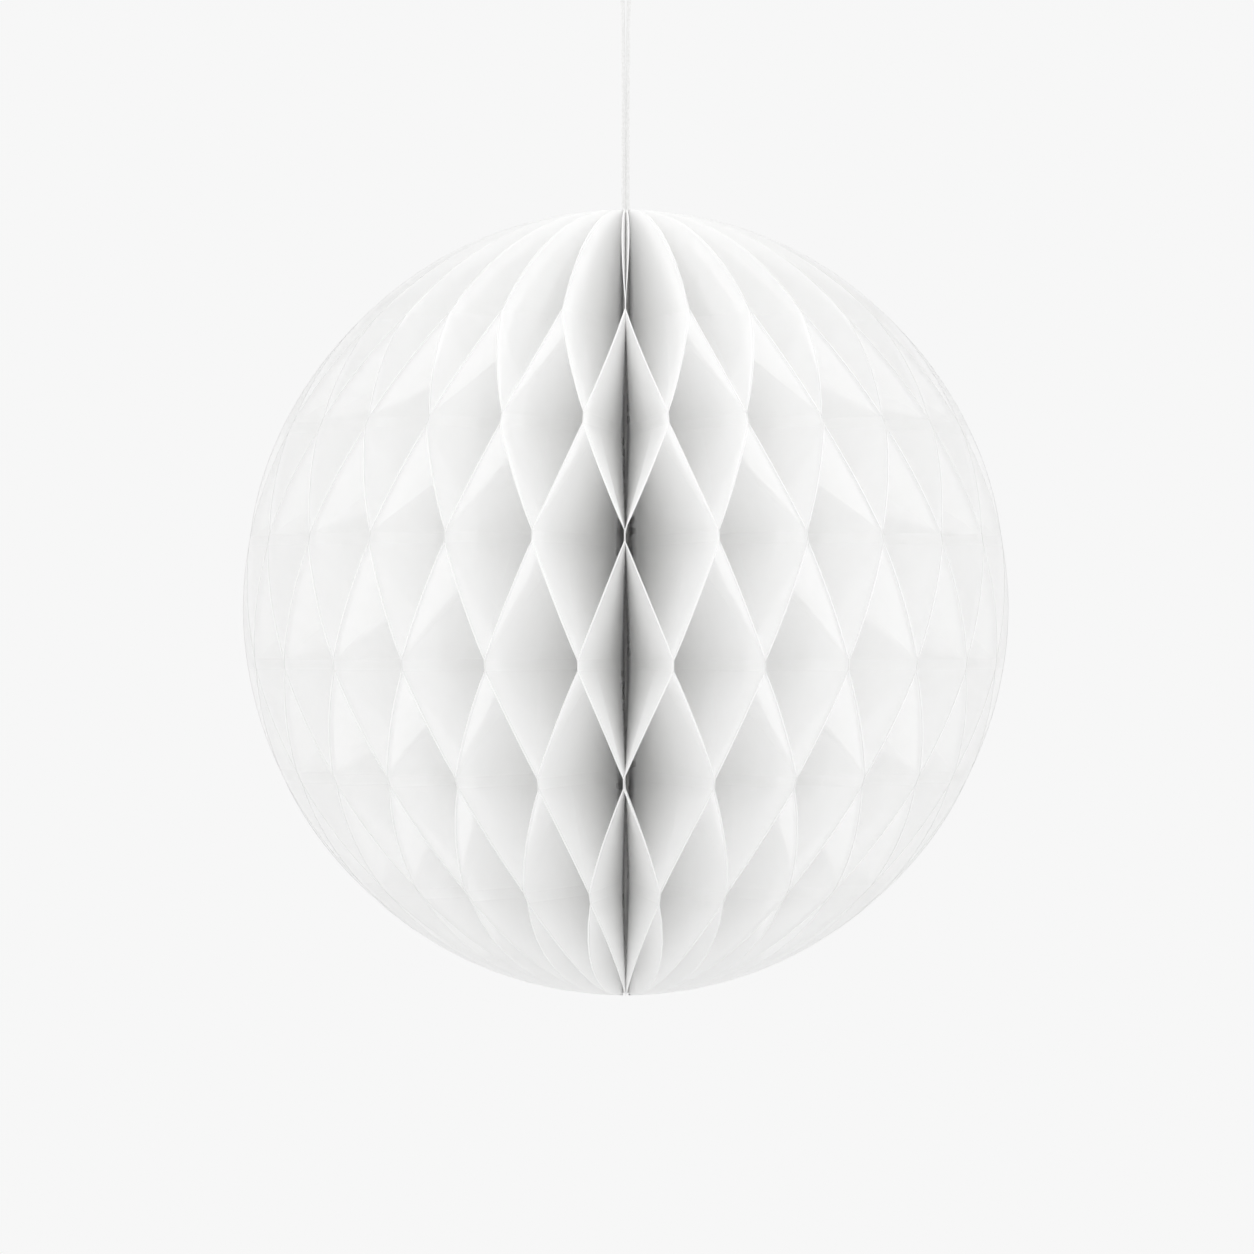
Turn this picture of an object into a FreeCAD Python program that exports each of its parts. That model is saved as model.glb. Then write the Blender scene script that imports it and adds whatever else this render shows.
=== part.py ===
"""Accordion (honeycomb) paper lantern: a ball of paper leaves fanned round an upright spine.

The leaves are bound along their straight edges and glued to each other in alternating
level strips, so that the opened fan becomes a ball of diamond cells. Two card covers
close the fan back to back behind the ball. A doubled cotton cord hangs it from a hook.

Millimetres, +Z up. The origin is where a hook bears on the inside of the hanging loop.
The ball's front faces -Y and its closing seam faces +Y.
"""

import FreeCAD, Part
import math
import os

# ---- driving dimensions (mm unless the name says otherwise) ----

BALL_RADIUS = 150.0          # widest radius of the opened paper
BALL_HALF_HEIGHT = 154.0     # ball centre to either pole
LEAF_COUNT = 54              # paper leaves in the fan, an even number
LEAF_THICKNESS = 0.2
LEAF_INNER_RADIUS = 5.0      # where the leaves' straight edges stop, from the axis
GLUE_FILM = 0.06             # adhesive between two glued leaves
GLUE_STRIP_HEIGHT = 4.0
GLUE_MIDDLE_PITCH = 47.4     # from one to the other of the two middle glue rows
GLUE_PITCH = 43.5            # from each of the others to the next
GLUE_ROWS_EACH_SIDE = 3      # above the ball's centre, and as many below
TOP_STEP = 0.12              # share of a cell step that a leaf swings above the top row
BOTTOM_STEP = 0.9            # the same below the bottom row

COVER_THICKNESS = 0.5
COVER_GAP = 0.1              # between the two covers when the ball is open
COVER_RIM_INSET = 1.0        # how far the card stays inside the paper's outline
COVER_INNER_RADIUS = 9.0     # the card's straight edge, from the axis
COVER_TAB_HEIGHT = 3.0       # sewing tabs that reach in to the spine
COVER_TAB_ROOT = 1.0         # how far the tabs' roots reach into the card
FIT_CLEARANCE = 0.15         # between the spine and what turns on it

PAD_COUNT = 3
PAD_WIDTH = 9.0
PAD_HEIGHT = 22.0
PAD_SPACING = 84.0
PAD_RIM_INSET = 9.0
PAD_RELIEF = 0.02            # left between a pad's face and the second cover
PAD_CORNER_RADIUS = 2.25

CORD_DIAMETER = 1.6
POLE_BELOW_HOOK = 97.0       # hook to the ball's upper pole
KNOT_RADIUS = 2.5
KNOT_LENGTH = 5.0
KNOT_ROUNDING = 1.5          # at its lower end
KNOT_CLEARANCE = 0.3
COLLAR_THICKNESS = 1.2       # end of the spine that bears on the knot
COLLAR_HOLE_RADIUS = 2.0
KNOT_SEAT_GAP = 0.1          # collar's lower face above the knot it bears on
SPINE_FOOT_DEPTH = 1.0       # spine's lower end above the lower pole
CORD_BEND_SHARE = 0.45       # of the shorter run at a turn, taken up by the turn's arc

# The hanging loop from the knot up one strand, over the hook and down the other:
# (x, z) of each turn, in the plane of the loop.
CORD_ROUTE = [
    (-0.87, -99.3), (-0.87, -52.0), (-1.10, -25.0), (-1.35, -10.5), (-1.70, -3.0),
    (-1.95, 0.80), (1.95, 0.80),
    (1.70, -3.0), (1.35, -10.5), (1.10, -25.0), (0.87, -52.0), (0.87, -99.3),
]

# ---- what follows from them ----

CENTRE_Z = -(POLE_BELOW_HOOK + BALL_HALF_HEIGHT)
STEP_DEG = 360.0 / LEAF_COUNT
SEAM_DEG = 90.0              # azimuth of the closing seam, +Y
SPINE_RADIUS = LEAF_INNER_RADIUS - FIT_CLEARANCE
OVERSIZE = 6.0               # cutting allowance past the outline
CUT_PAST = 0.5               # how far a cut runs past the faces it goes through
SIDE_OFFSET = GLUE_FILM / 2 + LEAF_THICKNESS / 2
COVER_SIDE_OFFSET = COVER_GAP / 2 + COVER_THICKNESS + GLUE_FILM + LEAF_THICKNESS / 2


def row_heights():
    """Heights of the glue rows, top row first, from the ball's centre."""
    upper = [GLUE_MIDDLE_PITCH / 2 + GLUE_PITCH * n for n in range(GLUE_ROWS_EACH_SIDE)]
    return upper[::-1] + [-height for height in upper]


def point_at(radius, side, azimuth_deg, z):
    """A point at a radius along an azimuth, moved sideways towards growing azimuth."""
    a = math.radians(azimuth_deg)
    x = radius * math.cos(a) - side * math.sin(a)
    y = radius * math.sin(a) + side * math.cos(a)
    return FreeCAD.Vector(x, y, z)


def outline_arc(across, up, bend):
    """The ball's outline right of the axis, stopping an angle short of either pole."""
    centre = FreeCAD.Vector(0, 0, 0)
    top = FreeCAD.Vector(0, 0, up)
    side = FreeCAD.Vector(across, 0, 0)
    if up >= across:
        return Part.ArcOfEllipse(Part.Ellipse(top, side, centre), bend, math.pi - bend)
    end = math.pi / 2 - bend
    return Part.ArcOfEllipse(Part.Ellipse(side, top, centre), -end, end)


def outline_ring(inner_radius, inset):
    """The round solid inside the ball's outline, with a hole for the spine."""
    across = BALL_RADIUS - inset
    up = BALL_HALF_HEIGHT - inset
    bend = math.asin(inner_radius / across)
    reach = up * math.cos(bend)
    arc = outline_arc(across, up, bend).toShape()
    low = FreeCAD.Vector(inner_radius, 0, -reach)
    high = FreeCAD.Vector(inner_radius, 0, reach)
    face = Part.Face(Part.Wire(Part.sortEdges([arc, Part.makeLine(low, high)])[0]))
    ring = face.revolve(FreeCAD.Vector(0, 0, 0), FreeCAD.Vector(0, 0, 1), 360)
    ring.translate(FreeCAD.Vector(0, 0, CENTRE_Z))
    return ring


def leaf_section(z, azimuth_deg, side):
    """One level cut through a leaf: a long thin rectangle standing along an azimuth."""
    inner = LEAF_INNER_RADIUS / 2
    outer = BALL_RADIUS + OVERSIZE
    near = side - LEAF_THICKNESS / 2
    far = side + LEAF_THICKNESS / 2
    corners = [(inner, near), (outer, near), (outer, far), (inner, far), (inner, near)]
    return Part.makePolygon([point_at(r, s, azimuth_deg, z) for r, s in corners])


def leaf_shape(index, ring):
    """Leaf number index, between cell planes index and index + 1 of the fan.

    On the odd rows (first, third, fifth) it lies on the odd plane, on the others on
    the even one, and it runs straight from each glue strip to the next.
    """
    low_side = SIDE_OFFSET if index > 0 else COVER_SIDE_OFFSET
    high_side = SIDE_OFFSET if index < LEAF_COUNT - 1 else COVER_SIDE_OFFSET
    on_low = (SEAM_DEG + index * STEP_DEG, low_side)
    on_high = (SEAM_DEG + (index + 1) * STEP_DEG, -high_side)
    even, odd = (on_low, on_high) if index % 2 == 0 else (on_high, on_low)

    def between(first, second, share):
        return tuple(a + (b - a) * share for a, b in zip(first, second))

    levels = [(BALL_HALF_HEIGHT + OVERSIZE, between(odd, even, TOP_STEP))]
    for number, height in enumerate(row_heights()):
        place = odd if number % 2 == 0 else even
        levels.append((height + GLUE_STRIP_HEIGHT / 2, place))
        levels.append((height - GLUE_STRIP_HEIGHT / 2, place))
    levels.append((-BALL_HALF_HEIGHT - OVERSIZE, between(even, odd, BOTTOM_STEP)))
    sections = [leaf_section(CENTRE_Z + z, *place) for z, place in levels]
    blank = Part.makeLoft(sections, True, True)
    return blank.common(ring).Solids[0]


def make_leaves():
    """All leaves. Inner ones are turned copies of one even and one odd leaf."""
    ring = outline_ring(LEAF_INNER_RADIUS, 0.0)
    masters = {parity: leaf_shape(parity + 2, ring) for parity in (0, 1)}
    leaves = []
    for index in range(LEAF_COUNT):
        if index in (0, LEAF_COUNT - 1):
            leaves.append(leaf_shape(index, ring))
            continue
        master = index % 2
        leaf = masters[master].copy()
        turn = (index - master - 2) * STEP_DEG
        leaf.rotate(FreeCAD.Vector(0, 0, 0), FreeCAD.Vector(0, 0, 1), turn)
        leaves.append(leaf)
    return leaves


def make_cover(near, far, tab_radius):
    """A card half-disc between two sideways distances from the seam plane."""
    height = 2 * (BALL_HALF_HEIGHT + OVERSIZE)
    width = far - near
    reach = BALL_RADIUS + OVERSIZE
    card = Part.makeBox(width, reach, height, FreeCAD.Vector(-far, 0, CENTRE_Z - height / 2))
    card = card.common(outline_ring(COVER_INNER_RADIUS, COVER_RIM_INSET))
    sleeve = Part.makeCylinder(tab_radius, height, FreeCAD.Vector(0, 0, CENTRE_Z - height / 2))
    for z in row_heights()[1::2]:
        foot = FreeCAD.Vector(-far, 0, CENTRE_Z + z - COVER_TAB_HEIGHT / 2)
        tab = Part.makeBox(width, COVER_INNER_RADIUS + COVER_TAB_ROOT, COVER_TAB_HEIGHT, foot)
        card = card.fuse(tab.cut(sleeve))
    return card.removeSplitter().Solids[0]


def make_pads():
    """Self-adhesive pads on the first cover that hold the second one against it."""
    pads = []
    back = PAD_RELIEF - COVER_GAP / 2
    front = COVER_GAP / 2
    for n in range(PAD_COUNT):
        z = (n - (PAD_COUNT - 1) / 2) * PAD_SPACING
        rim = BALL_RADIUS * math.sqrt(1 - (abs(z) + PAD_HEIGHT / 2) ** 2 / BALL_HALF_HEIGHT**2)
        start = rim - PAD_RIM_INSET - PAD_WIDTH
        foot = FreeCAD.Vector(-front, start, CENTRE_Z + z - PAD_HEIGHT / 2)
        pad = Part.makeBox(front - back, PAD_WIDTH, PAD_HEIGHT, foot)
        upright = [e for e in pad.Edges if abs(e.Curve.Direction.x) > 0.9]
        pads.append(pad.makeFillet(PAD_CORNER_RADIUS, upright))
    return Part.makeCompound(pads)


def knot_top():
    """Height of the knot's top face, where the cord's two strands leave it."""
    return CORD_ROUTE[0][1]


def make_spine():
    """The round binding that gathers the leaves, hollow at its top for the knot."""
    roof = knot_top() + KNOT_SEAT_GAP
    top = roof + COLLAR_THICKNESS
    foot = CENTRE_Z - BALL_HALF_HEIGHT + SPINE_FOOT_DEPTH
    spine = Part.makeCylinder(SPINE_RADIUS, top - foot, FreeCAD.Vector(0, 0, foot))
    depth = KNOT_SEAT_GAP + KNOT_LENGTH + KNOT_CLEARANCE
    pocket = Part.makeCylinder(
        KNOT_RADIUS + KNOT_CLEARANCE, depth, FreeCAD.Vector(0, 0, roof - depth)
    )
    hole = Part.makeCylinder(
        COLLAR_HOLE_RADIUS,
        COLLAR_THICKNESS + 2 * CUT_PAST,
        FreeCAD.Vector(0, 0, roof - CUT_PAST),
    )
    return spine.cut(pocket).cut(hole).Solids[0]


def make_knot():
    """The tied end of the hanging cord, which the spine's collar rests on."""
    knot = Part.makeCylinder(
        KNOT_RADIUS, KNOT_LENGTH, FreeCAD.Vector(0, 0, knot_top() - KNOT_LENGTH)
    )
    lower = [e for e in knot.Edges if e.BoundBox.ZMax < knot_top() - KNOT_LENGTH / 2]
    return knot.makeFillet(KNOT_ROUNDING, lower)


def cord_path(points):
    """Straight runs joined by tangent arcs, as one wire."""
    corners = [FreeCAD.Vector(x, 0, z) for x, z in points]
    edges = []
    start = corners[0]
    for before, corner, after in zip(corners, corners[1:], corners[2:]):
        into = (corner - before).normalize()
        out = (after - corner).normalize()
        half_turn = into.getAngle(out) / 2
        shorter = min((corner - before).Length, (after - corner).Length)
        back = CORD_BEND_SHARE * shorter
        radius = back / math.tan(half_turn)
        print(f"cord arc radius {radius:.2f} at {corner.x:.2f}, {corner.z:.2f}")
        first = corner - into * back
        last = corner + out * back
        toward = (out - into).normalize()
        middle = corner + toward * (radius / math.cos(half_turn) - radius)
        edges.append(Part.LineSegment(start, first).toShape())
        edges.append(Part.Arc(first, middle, last).toShape())
        start = last
    edges.append(Part.LineSegment(start, corners[-1]).toShape())
    return Part.Wire(edges)


def make_cord():
    """The doubled cord as one tube, from the knot over the hook and back."""
    path = cord_path(CORD_ROUTE)
    first = FreeCAD.Vector(CORD_ROUTE[0][0], 0, CORD_ROUTE[0][1])
    circle = Part.makeCircle(CORD_DIAMETER / 2, first, FreeCAD.Vector(0, 0, 1))
    tube = path.makePipeShell([Part.Wire(circle)], True, True)
    section = math.pi * CORD_DIAMETER**2 / 4
    print(f"cord length {path.Length:.2f}, volume ratio {tube.Volume / section / path.Length:.5f}")
    return tube


def build():
    """Every sub-part by node name."""
    parts = {f"leaf_{n:02d}": leaf for n, leaf in enumerate(make_leaves(), 1)}
    inner = COVER_GAP / 2
    outer = inner + COVER_THICKNESS
    parts["cover_a"] = make_cover(inner, outer, SPINE_RADIUS)
    parts["cover_b"] = make_cover(-outer, -inner, LEAF_INNER_RADIUS)
    parts["closure_pads"] = make_pads()
    parts["spine_binding"] = make_spine()
    parts["hanger_knot"] = make_knot()
    parts["hanger_cord"] = make_cord()
    return parts


os.makedirs("parts", exist_ok=True)
for node, shape in build().items():
    if not shape.isValid():
        print(f"{node} isn't a valid solid")
    shape.exportStep(f"parts/{node}.step")
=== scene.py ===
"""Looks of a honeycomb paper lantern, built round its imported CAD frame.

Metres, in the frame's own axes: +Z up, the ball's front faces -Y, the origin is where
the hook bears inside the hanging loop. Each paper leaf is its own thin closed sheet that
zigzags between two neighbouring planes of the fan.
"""

import math

import bpy
import numpy as np
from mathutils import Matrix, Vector


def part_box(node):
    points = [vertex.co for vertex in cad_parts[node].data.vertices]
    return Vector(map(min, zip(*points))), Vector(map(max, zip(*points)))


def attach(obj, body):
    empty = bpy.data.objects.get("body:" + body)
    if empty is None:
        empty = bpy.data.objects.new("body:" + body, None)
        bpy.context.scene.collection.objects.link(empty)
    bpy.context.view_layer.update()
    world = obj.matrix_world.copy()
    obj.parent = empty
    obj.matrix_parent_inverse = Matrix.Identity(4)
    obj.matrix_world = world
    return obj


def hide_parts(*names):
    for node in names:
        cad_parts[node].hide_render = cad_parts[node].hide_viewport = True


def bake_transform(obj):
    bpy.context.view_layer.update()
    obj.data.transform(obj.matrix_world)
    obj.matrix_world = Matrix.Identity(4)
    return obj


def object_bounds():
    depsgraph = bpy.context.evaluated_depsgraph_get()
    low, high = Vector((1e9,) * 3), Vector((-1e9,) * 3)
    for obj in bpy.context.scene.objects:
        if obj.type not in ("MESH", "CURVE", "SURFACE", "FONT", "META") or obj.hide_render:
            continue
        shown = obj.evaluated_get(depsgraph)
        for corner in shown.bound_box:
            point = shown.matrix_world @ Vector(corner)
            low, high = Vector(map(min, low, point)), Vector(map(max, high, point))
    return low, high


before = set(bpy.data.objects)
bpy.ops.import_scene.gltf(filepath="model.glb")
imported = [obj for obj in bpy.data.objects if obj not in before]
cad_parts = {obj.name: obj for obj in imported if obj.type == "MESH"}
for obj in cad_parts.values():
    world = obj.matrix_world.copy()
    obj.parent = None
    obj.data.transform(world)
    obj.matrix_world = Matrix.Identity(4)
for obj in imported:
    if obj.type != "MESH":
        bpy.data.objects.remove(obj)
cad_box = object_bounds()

MM = 0.001
rng = np.random.default_rng(54)

# ---- sizes, in metres unless the name says otherwise ----

LEAF_NODES = sorted(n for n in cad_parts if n.startswith("leaf_"))
LEAF_COUNT = len(LEAF_NODES)
STEP = 2 * math.pi / LEAF_COUNT          # from one plane of the fan to the next
SHUT_STEP = math.radians(0.25)           # the same when the fan is shut
SEAM = math.pi / 2                       # azimuth of the closing seam, +Y
FRONT_PLANE = LEAF_COUNT // 2

LEAF_LOW, LEAF_HIGH = (Vector(c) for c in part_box(LEAF_NODES[0]))
CENTRE = Vector((0.0, 0.0, (LEAF_LOW.z + LEAF_HIGH.z) / 2))
HALF_HEIGHT = (LEAF_HIGH.z - LEAF_LOW.z) / 2
BALL_RADIUS = 150 * MM
INNER_RADIUS = 5.0 * MM
ROW_MIDDLE_PITCH = 47.4 * MM             # between the two middle glue rows
ROW_PITCH = 43.5 * MM                    # between the others
ROWS_EACH_SIDE = 3
STRIP_HEIGHT = 4.0 * MM
COVER_SIDE = 0.62 * MM                   # seam plane to the first leaf's paper
GLUED_SIDE = 0.06 * MM                   # glue plane to the middle of a glued leaf

SHEET_THICKNESS = 0.07 * MM
RIM_THICKNESS = 0.55 * MM                # the fluffed cut edge
STRIP_RIM_THICKNESS = 0.24 * MM          # the same where the rim is pressed into the glue
STRIP_RIM_REACH = 0.75                   # of the strips' height, to either side of a row
RIM_WIDTH = 2.2 * MM
RIM_FADE = 1.5                           # how fast the fluffed rim thins inwards
SHUT_FILL = 0.84                         # share of its room in the shut fan that a leaf fills
POLE_CROWDING = 1.8                      # how much closer the grid levels lie at the poles
LEAN_MIDDLE = 0.006                      # radians, at the ball's middle
LEAN_SLOPE = 0.064                       # radians less at a ball's radius above it
PANEL_LEVELS = 9                         # grid levels from one glue row to the next
DEEP_COLUMNS = 5                         # grid columns behind the diagonal creases
CREASE_SHARE = 0.38                      # how far in a diagonal crease runs, of the span
TOP_SWING = 0.10                         # share of a step swung above the top row
FRONT_TOP_SWING = 0.30                   # the same for the pair at the very front
BOTTOM_SWING = 0.95
NODE_JITTER = math.radians(0.16)
TINY = 1e-6

CORD_DIAMETER = 1.6 * MM

LIGHT_BOUNCES = 64                       # light reaches the cells' depths through many leaves


def material(name):
    """A new node material with its Principled shader and a helper to add nodes."""
    mat = bpy.data.materials.new(name)
    mat.use_nodes = True
    tree = mat.node_tree
    shader = next(n for n in tree.nodes if n.type == "BSDF_PRINCIPLED")
    return mat, tree, shader


def add(tree, kind, **values):
    """A shader node of one kind, with inputs given by name."""
    node = tree.nodes.new(kind)
    for key, value in values.items():
        if key in node.inputs:
            node.inputs[key].default_value = value
        else:
            setattr(node, key, value)
    return node


def noise(tree, coords, scale, detail=4.0, roughness=0.55):
    node = add(tree, "ShaderNodeTexNoise", Scale=scale, Detail=detail, Roughness=roughness)
    tree.links.new(coords, node.inputs["Vector"])
    return node.outputs["Fac"]


def ramp(tree, value, stops):
    node = tree.nodes.new("ShaderNodeValToRGB")
    while len(node.color_ramp.elements) < len(stops):
        node.color_ramp.elements.new(0.5)
    for element, (place, colour) in zip(node.color_ramp.elements, stops):
        element.position = place
        element.color = (*colour, 1.0)
    tree.links.new(value, node.inputs["Fac"])
    return node.outputs["Color"]


def bump(tree, height, strength, distance, under=None):
    node = add(tree, "ShaderNodeBump", Strength=strength, Distance=distance)
    tree.links.new(height, node.inputs["Height"])
    if under is not None:
        tree.links.new(under, node.inputs["Normal"])
    return node.outputs["Normal"]


def tissue_material():
    """White tissue: cloudy fibre formation, a fine grain and light shining through."""
    mat, tree, shader = material("tissue_paper")
    place = tree.nodes.new("ShaderNodeTexCoord").outputs["Object"]
    cloud = noise(tree, place, 160.0, 5.0, 0.6)
    grain = noise(tree, place, 1500.0, 3.0, 0.6)
    colour = ramp(tree, cloud, [(0.3, (0.99, 0.99, 0.989)), (0.7, (1.0, 1.0, 1.0))])
    normal = bump(tree, cloud, 0.25, 0.3 * MM)
    normal = bump(tree, grain, 0.2, 0.05 * MM, normal)
    tree.links.new(colour, shader.inputs["Base Color"])
    tree.links.new(normal, shader.inputs["Normal"])
    shader.inputs["Roughness"].default_value = 0.9
    shader.inputs["Specular IOR Level"].default_value = 0.15
    through = tree.nodes.new("ShaderNodeBsdfTranslucent")
    tree.links.new(colour, through.inputs["Color"])
    tree.links.new(normal, through.inputs["Normal"])
    mix = add(tree, "ShaderNodeMixShader")
    mix.inputs["Fac"].default_value = 0.8
    tree.links.new(shader.outputs[0], mix.inputs[1])
    tree.links.new(through.outputs[0], mix.inputs[2])
    output = next(n for n in tree.nodes if n.type == "OUTPUT_MATERIAL")
    tree.links.new(mix.outputs[0], output.inputs["Surface"])
    return mat


def cut_edge_material():
    """The die-cut rim of the tissue: fluffed, so it is whiter and lets no light through."""
    mat, tree, shader = material("tissue_cut_edge")
    place = tree.nodes.new("ShaderNodeTexCoord").outputs["Object"]
    fluff = noise(tree, place, 2600.0, 3.0, 0.6)
    colour = ramp(tree, fluff, [(0.3, (0.985, 0.985, 0.984)), (0.7, (1.0, 1.0, 1.0))])
    tree.links.new(colour, shader.inputs["Base Color"])
    tree.links.new(bump(tree, fluff, 0.4, 0.08 * MM), shader.inputs["Normal"])
    shader.inputs["Roughness"].default_value = 0.95
    shader.inputs["Specular IOR Level"].default_value = 0.1
    return mat


def plain_fibre_material(name, dark, light, scale, depth, roughness):
    """Card, binding paper, pads and cotton: a mottled matte fibre surface."""
    mat, tree, shader = material(name)
    place = tree.nodes.new("ShaderNodeTexCoord").outputs["Object"]
    mottle = noise(tree, place, scale, 5.0, 0.6)
    fine = noise(tree, place, scale * 9, 2.0)
    colour = ramp(tree, mottle, [(0.3, dark), (0.7, light)])
    normal = bump(tree, mottle, 0.3, depth)
    normal = bump(tree, fine, 0.4, depth / 3, normal)
    tree.links.new(colour, shader.inputs["Base Color"])
    tree.links.new(normal, shader.inputs["Normal"])
    shader.inputs["Roughness"].default_value = roughness
    shader.inputs["Specular IOR Level"].default_value = 0.25
    return mat


# ---- camera ----

LENS_MM = 141.4
SENSOR_MM = 36.0
CAMERA_DISTANCE = 1.935
CAMERA_BELOW_CENTRE = 9.6 * MM
CAMERA_RIGHT = 0.5 * MM


def make_camera():
    data = bpy.data.cameras.new("camera")
    data.lens = LENS_MM
    data.sensor_width = SENSOR_MM
    camera = bpy.data.objects.new("camera", data)
    bpy.context.scene.collection.objects.link(camera)
    camera.location = (CAMERA_RIGHT, -CAMERA_DISTANCE, CENTRE.z - CAMERA_BELOW_CENTRE)
    camera.rotation_euler = (math.pi / 2, 0, 0)
    bpy.context.scene.camera = camera


# ---- hanging cord ----

CORD_ROUTE_MM = [
    (-0.87, -99.3), (-0.87, -52.0), (-1.10, -25.0), (-1.35, -10.5), (-1.70, -3.0),
    (-1.95, 0.80), (1.95, 0.80),
    (1.70, -3.0), (1.35, -10.5), (1.10, -25.0), (0.87, -52.0), (0.87, -99.3),
]


def make_cord(mat):
    """The doubled cotton cord: one smooth line from the knot over the hook and back."""
    data = bpy.data.curves.new("hanging_cord", "CURVE")
    data.dimensions = "3D"
    spline = data.splines.new("NURBS")
    spline.points.add(len(CORD_ROUTE_MM) - 1)
    for point, (x, z) in zip(spline.points, CORD_ROUTE_MM):
        point.co = (x * MM, 0.0, z * MM, 1.0)
    spline.order_u = 3
    spline.use_endpoint_u = True
    spline.resolution_u = 16
    data.bevel_depth = CORD_DIAMETER / 2
    data.bevel_resolution = 5
    data.materials.append(mat)
    cord = bpy.data.objects.new("hanging_cord", data)
    bpy.context.scene.collection.objects.link(cord)
    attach(cord, "hanger")
    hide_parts("hanger_cord")


# ---- paper leaves ----

def row_heights():
    """Glue rows from the top down, from the ball's centre."""
    upper = [ROW_MIDDLE_PITCH / 2 + ROW_PITCH * n for n in range(ROWS_EACH_SIDE)]
    return upper[::-1] + [-h for h in upper]


def rim_radius(height):
    """The ball's outline: how far the paper reaches from the axis at a height."""
    share = np.clip(1 - (height / HALF_HEIGHT) ** 2, 0, 1)
    return np.maximum(BALL_RADIUS * np.sqrt(share), INNER_RADIUS)


def sample_heights():
    """Levels of a leaf's grid, closest together at the creases and the poles."""
    rows = row_heights()
    creases = [HALF_HEIGHT]
    for row in rows:
        creases += [row + STRIP_HEIGHT / 2, row - STRIP_HEIGHT / 2]
    creases.append(-HALF_HEIGHT)
    levels = [creases[0]]
    for number, (above, below) in enumerate(zip(creases, creases[1:])):
        count = 2 if number % 2 else PANEL_LEVELS
        shares = np.linspace(0, 1, count + 1)[1:]
        if number == 0:
            shares = shares**POLE_CROWDING
        elif number == len(creases) - 2:
            shares = 1 - (1 - shares) ** POLE_CROWDING
        levels += list(above + (below - above) * shares)
    return np.array(levels)


def crease_jitter():
    """How far each glued node sits off its ideal plane, for every plane and row."""
    jitter = rng.normal(0, NODE_JITTER, (LEAF_COUNT + 1, 2 * ROWS_EACH_SIDE))
    jitter[0] = jitter[-1] = 0
    return np.clip(jitter, -2 * NODE_JITTER, 2 * NODE_JITTER)


def leaf_course(index, heights, jitter):
    """A leaf's azimuth and sideways offset at each height, as if it only zigzagged."""
    rows = row_heights()
    planes = {0: index, 1: index + 1}
    odd = planes[1 - index % 2]
    even = planes[index % 2]

    def stand(plane, row):
        first = plane == index
        side = GLUED_SIDE if 0 < plane < LEAF_COUNT else COVER_SIDE
        turn = jitter[plane][row] if row is not None else 0.0
        return plane * STEP + turn, side if first else -side

    swing = FRONT_TOP_SWING if odd == FRONT_PLANE else TOP_SWING
    top, away = stand(odd, 0), stand(even, None)
    bottom, beyond = stand(even, len(rows) - 1), stand(odd, None)
    keys = [(HALF_HEIGHT, [a + (b - a) * swing for a, b in zip(top, away)])]
    for number, row in enumerate(rows):
        place = stand(odd if number % 2 == 0 else even, number)
        keys.append((row + STRIP_HEIGHT / 2, place))
        keys.append((row - STRIP_HEIGHT / 2, place))
    keys.append((-HALF_HEIGHT, [a + (b - a) * BOTTOM_SWING for a, b in zip(bottom, beyond)]))
    at = np.array([h for h, _ in keys])[::-1]
    turn = np.interp(heights, at, np.array([p[0] for _, p in keys])[::-1])
    side = np.interp(heights, at, np.array([p[1] for _, p in keys])[::-1])
    return turn, side


def crease(turn, heights, reach, depth):
    """The azimuth at each grid point of a leaf whose panels fold along a diagonal.

    Between two glue rows the flat paper can't twist, so it creases from the lower row's
    node inwards and upwards into two flat facets.
    """
    folded = np.repeat(turn[:, None], depth.shape[1], axis=1)
    radius = reach[:, None] - depth
    crease_depth = CREASE_SHARE * (reach - INNER_RADIUS)[:, None]
    rows = row_heights()
    for upper, lower in zip(rows, rows[1:]):
        low, high = lower + STRIP_HEIGHT / 2, upper - STRIP_HEIGHT / 2
        inside = (heights > low + TINY) & (heights < high - TINY)
        start, end = np.interp([low, high], heights[::-1], turn[::-1])
        up = ((heights - low) / (high - low))[:, None]
        below = up * (reach[:, None] - crease_depth) / radius
        above = (up * reach[:, None] - depth) / radius
        share = np.where(depth > up * crease_depth, below, above)
        share = np.where(depth > crease_depth, up, share)
        folded[inside] = (start + (end - start) * share)[inside]
    return folded


def lean(turn, heights):
    """Hand-opened leaves stand a little closer near the top front, wider below."""
    from_front = turn - math.pi
    amount = LEAN_MIDDLE - LEAN_SLOPE * heights / BALL_RADIUS
    return turn + amount * np.sin(from_front) * (1 + np.cos(from_front)) / 2


def column_depths(span):
    """Depths of a leaf's columns behind its rim at one height, from the spine outwards."""
    rim = min(RIM_WIDTH, span * CREASE_SHARE / PANEL_LEVELS * 0.5)
    deep = np.linspace(1, CREASE_SHARE, DEEP_COLUMNS + 1)[:-1] * span
    creased = np.linspace(CREASE_SHARE, 0, PANEL_LEVELS + 1)[:-1] * span
    edge = rim * np.array([1.0, 0.6, 0.3, 0.1, 0.0])
    return np.concatenate([deep, creased, edge])


def thickness_at(radius, from_rim, in_strip):
    """Half the paper's thickness: thin paper, with a fluffed rim away from the glue."""
    folded_room = radius * SHUT_STEP * SHUT_FILL / 2
    rim = np.where(in_strip, STRIP_RIM_THICKNESS / 2, RIM_THICKNESS / 2)
    near_rim = np.clip(1 - from_rim / RIM_WIDTH, 0, 1) ** RIM_FADE
    half = SHEET_THICKNESS / 2 + (rim - SHEET_THICKNESS / 2) * near_rim
    return np.minimum(half, folded_room)


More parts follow.
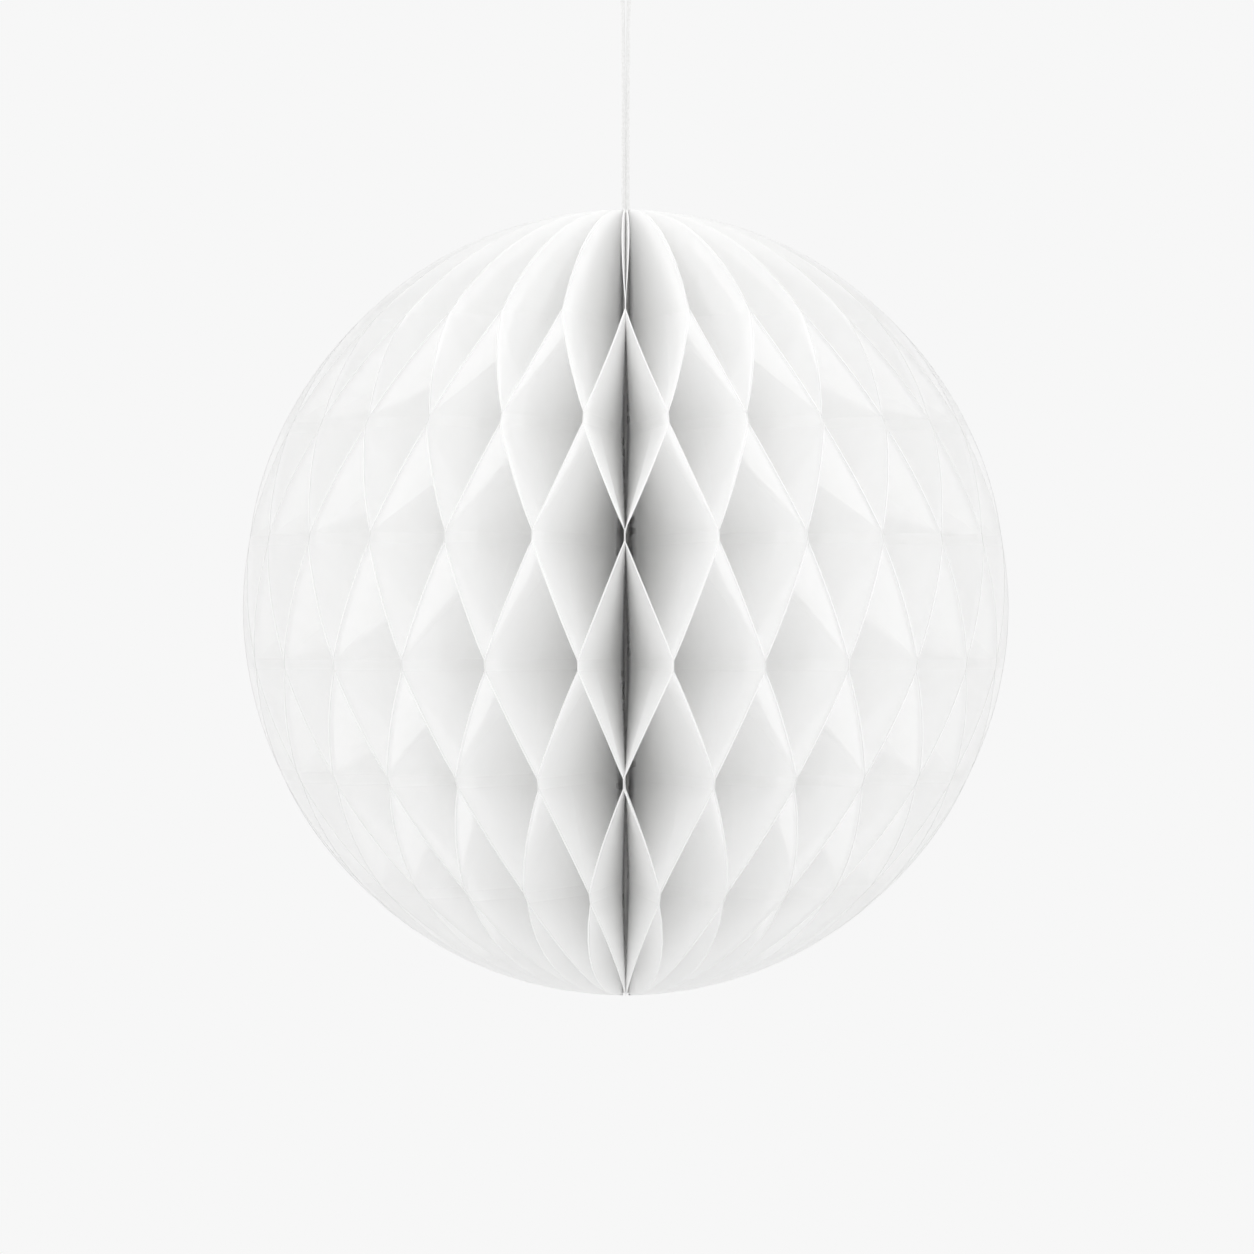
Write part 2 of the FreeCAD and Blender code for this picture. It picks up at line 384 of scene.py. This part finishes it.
def grid_faces(rows, cols, heights):
    """Quads of one side of a leaf, cut in two where a diagonal crease crosses them."""
    number = np.arange(rows * cols).reshape(rows, cols)
    quads = np.stack(
        [number[:-1, :-1], number[1:, :-1], number[1:, 1:], number[:-1, 1:]], axis=-1
    )
    creased = np.zeros((rows - 1, cols - 1), bool)
    for upper in row_heights()[:-1]:
        first = int(np.argmin(np.abs(heights - (upper - STRIP_HEIGHT / 2))))
        steps = np.arange(PANEL_LEVELS)
        creased[first + steps, DEEP_COLUMNS + steps] = True
    whole = quads[~creased].tolist()
    cut = quads[creased]
    return whole + cut[:, [0, 1, 2]].tolist() + cut[:, [0, 2, 3]].tolist()


def mark_folds(mesh, rows, cols, heights):
    """Keeps the paper's fold lines crisp: the glue strips' edges and the diagonals."""
    ends = np.empty(len(mesh.edges) * 2, np.int32)
    mesh.edges.foreach_get("vertices", ends)
    first, second = (ends.reshape(-1, 2) % (rows * cols)).T
    level_step = np.abs(first // cols - second // cols)
    column_step = np.abs(first % cols - second % cols)
    to_row = np.abs(heights[:, None] - np.array(row_heights())[None, :])
    strip_edge = np.any(np.abs(to_row - STRIP_HEIGHT / 2) < TINY, axis=1)
    sharp = (level_step == 1) & (column_step == 1)
    sharp |= (level_step == 0) & (column_step == 1) & strip_edge[first // cols]
    mark = mesh.attributes.new("sharp_edge", "BOOLEAN", "EDGE")
    mark.data.foreach_set("value", sharp)


def dress_rim(mesh, rows, cols):
    """Gives the faces of the fluffed rim the second material."""
    corners = np.empty(len(mesh.loops), np.int32)
    mesh.loops.foreach_get("vertex_index", corners)
    starts = np.empty(len(mesh.polygons), np.int32)
    mesh.polygons.foreach_get("loop_start", starts)
    innermost = np.minimum.reduceat(corners % (rows * cols) % cols, starts)
    rim = innermost >= DEEP_COLUMNS + PANEL_LEVELS
    mesh.polygons.foreach_set("material_index", rim.astype(np.int32))


def make_leaf(index, heights, jitter, mats):
    """One leaf as a closed sheet, with each point's share in the fan's fold."""
    turn, side = leaf_course(index, heights, jitter)
    reach = rim_radius(heights)
    depth = np.array([column_depths(r - INNER_RADIUS) for r in reach])
    radius = reach[:, None] - depth
    turn = lean(crease(turn, heights, reach, depth), heights[:, None])
    near_row = np.min(
        np.abs(heights[:, None] - np.array(row_heights())[None, :]), axis=1
    )
    in_strip = (near_row < STRIP_HEIGHT * STRIP_RIM_REACH)[:, None] & np.ones_like(radius, bool)
    half = thickness_at(radius, depth, in_strip)
    along = SEAM + turn
    rows, cols = radius.shape
    sides = []
    for sign in (1, -1):
        across = side[:, None] + sign * half
        x = radius * np.cos(along) - across * np.sin(along)
        y = radius * np.sin(along) + across * np.cos(along)
        z = np.broadcast_to(heights[:, None] + CENTRE.z, x.shape)
        sides.append(np.stack([x, y, z], axis=-1).reshape(-1, 3))
    points = np.concatenate(sides)
    front = grid_faces(rows, cols, heights)
    faces = [face[::-1] for face in front]
    faces += [[v + rows * cols for v in face] for face in front]
    number = np.arange(rows * cols).reshape(rows, cols)
    ring = (
        list(number[0]) + list(number[1:, -1]) + list(number[-1, -2::-1])
        + list(number[-2:0:-1, 0])
    )
    for a, b in zip(ring, ring[1:] + ring[:1]):
        faces.append([int(a), int(b), int(b) + rows * cols, int(a) + rows * cols])
    mesh = bpy.data.meshes.new(f"paper_{index + 1:02d}")
    mesh.from_pydata(points.tolist(), [], faces)
    mesh.validate()
    mesh.polygons.foreach_set("use_smooth", [True] * len(mesh.polygons))
    mark_folds(mesh, rows, cols, heights)
    for mat in mats:
        mesh.materials.append(mat)
    dress_rim(mesh, rows, cols)
    leaf = bpy.data.objects.new(f"paper_{index + 1:02d}", mesh)
    bpy.context.scene.collection.objects.link(leaf)
    share = fold_share(index, turn, radius, side[:, None]).reshape(-1)
    return leaf, np.concatenate([share, share])


def fold_share(index, turn, radius, side):
    """How many steps of the fan's fold each point of a leaf goes through.

    Shut, the leaves lie flat and evenly spread in the room between the two cards.
    """
    whole = LEAF_COUNT * SHUT_STEP
    card = COVER_SIDE + RIM_THICKNESS / 2
    low = np.minimum((card - side) / radius, whole / 2)
    high = np.maximum(whole - (card + side) / radius, whole / 2)
    shut = low + (high - low) * (index + 0.5) / LEAF_COUNT
    return (turn - shut) / (STEP - SHUT_STEP)


def fold_leaf(leaf, index):
    """Bakes a leaf's placement into its mesh; the leaf keeps its open shape."""
    if index == 0:
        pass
    elif index == LEAF_COUNT - 1:
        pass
    elif index % 2 == 0:
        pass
    else:
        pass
    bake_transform(leaf)


def make_leaves(mats):
    heights = sample_heights()
    jitter = crease_jitter()
    for index, node in enumerate(LEAF_NODES):
        leaf, share = make_leaf(index, heights, jitter, mats)
        fold_leaf(leaf, index)
        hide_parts(node)


# ---- CAD pieces that keep their shape ----

def dress(node, mat):
    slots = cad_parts[node].data.materials
    slots.clear()
    slots.append(mat)


# ---- light and stage ----

def add_sun(name, azimuth_deg, elevation_deg, strength, spread_deg):
    """A small distant light; azimuth 0 shines from the front, 90 from the right."""
    data = bpy.data.lights.new(name, "SUN")
    data.energy = strength
    data.angle = math.radians(spread_deg)
    light = bpy.data.objects.new(name, data)
    bpy.context.scene.collection.objects.link(light)
    a, e = math.radians(azimuth_deg), math.radians(elevation_deg)
    toward = Vector((math.sin(a) * math.cos(e), -math.cos(a) * math.cos(e), math.sin(e)))
    light.rotation_euler = toward.to_track_quat("Z", "Y").to_euler()


def make_stage():
    """A pale floor disc below the hanging ball and an even near-white surround."""
    world = bpy.data.worlds.new("studio")
    bpy.context.scene.world = world
    world.use_nodes = True
    background = world.node_tree.nodes["Background"]
    background.inputs["Color"].default_value = (0.93, 0.93, 0.93, 1)
    background.inputs["Strength"].default_value = 1.0
    bpy.ops.mesh.primitive_circle_add(vertices=96, radius=1.1, fill_type="NGON")
    floor = bpy.context.object
    floor.name = "floor"
    floor.location = (0, 0, cad_box[0][2] - 0.35)
    floor.data.materials.append(
        plain_fibre_material("floor", (0.84, 0.84, 0.84), (0.87, 0.87, 0.87), 12.0, MM, 0.8)
    )


make_camera()
cotton = plain_fibre_material("cotton", (0.86, 0.86, 0.85), (0.95, 0.95, 0.945), 900, 0.1 * MM, 0.85)
make_cord(cotton)
make_leaves([tissue_material(), cut_edge_material()])
card = plain_fibre_material("card", (0.86, 0.855, 0.84), (0.92, 0.915, 0.9), 220, 0.08 * MM, 0.8)
binding = plain_fibre_material("binding", (0.88, 0.875, 0.86), (0.95, 0.945, 0.935), 400, 0.1 * MM, 0.9)
foam = plain_fibre_material("pad", (0.84, 0.84, 0.82), (0.92, 0.92, 0.9), 700, 0.1 * MM, 0.9)
dress("cover_a", card)
dress("cover_b", card)
dress("spine_binding", binding)
dress("closure_pads", foam)
dress("hanger_knot", cotton)
make_stage()
add_sun("key_left", -80, 30, 0.40, 2.0)
add_sun("key_right", 80, 30, 0.40, 2.0)
bpy.context.scene.view_settings.view_transform = "Standard"
cycles = bpy.context.scene.cycles
cycles.max_bounces = LIGHT_BOUNCES
cycles.diffuse_bounces = LIGHT_BOUNCES
cycles.transmission_bounces = LIGHT_BOUNCES
